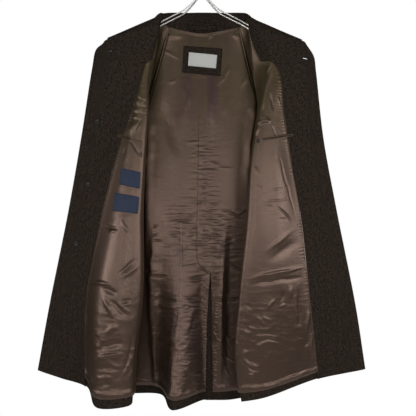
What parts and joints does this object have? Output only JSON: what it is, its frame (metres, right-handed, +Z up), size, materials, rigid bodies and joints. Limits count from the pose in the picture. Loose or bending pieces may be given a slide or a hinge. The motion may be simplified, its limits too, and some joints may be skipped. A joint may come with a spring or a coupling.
{
  "type": "balmacaan coat on a wire hanger",
  "caption": "Knee-length balmacaan coat in dark wool with a satin lining, hung from a chrome wire hanger with its fronts swung open to show the lining.",
  "frame": {"origin": "inside top of the hanger's hook, where a rail bears", "axes": "+Z up, +X to the wearer's left, +Y to the wearer's back"},
  "size_m": [0.89, 0.2288, 1.1577],
  "materials": {
    "wool": "matt woven wool",
    "satin": "satin",
    "label_white": "woven label",
    "label_navy": "woven label",
    "horn": "polished",
    "chrome": "polished"
  },
  "bodies": {
    "root": {"front_right": "wool", "front_left": "wool", "back_right": "wool", "back_left": "wool", "sleeve_front_right": "wool", "sleeve_back_right": "wool", "sleeve_front_left": "wool", "sleeve_back_left": "wool", "collar_stand": "wool", "collar_fall": "wool", "facing_right": "wool", "facing_left": "wool", "vent_facing": "wool", "hang_loop": "wool", "label_patch": "wool", "lining_front_right": "satin", "lining_front_left": "satin", "lining_back_right": "satin", "lining_back_left": "satin", "lining_sleeve_right": "satin", "lining_sleeve_left": "satin", "pocket_mouth_right": "satin", "pocket_mouth_left": "satin", "label_main": "label_white", "label_upper": "label_navy", "label_lower": "label_navy", "coat_button_1": "horn", "coat_button_2": "horn", "coat_button_3": "horn", "coat_button_4": "horn", "backing_button_1": "horn", "backing_button_2": "horn", "backing_button_3": "horn", "backing_button_4": "horn", "pocket_button_right": "horn", "pocket_button_left": "horn", "hanger_arm_right": "chrome", "hanger_arm_left": "chrome", "hanger_ferrule": "chrome", "hanger_hook": "chrome"}
  },
  "joints": []
}
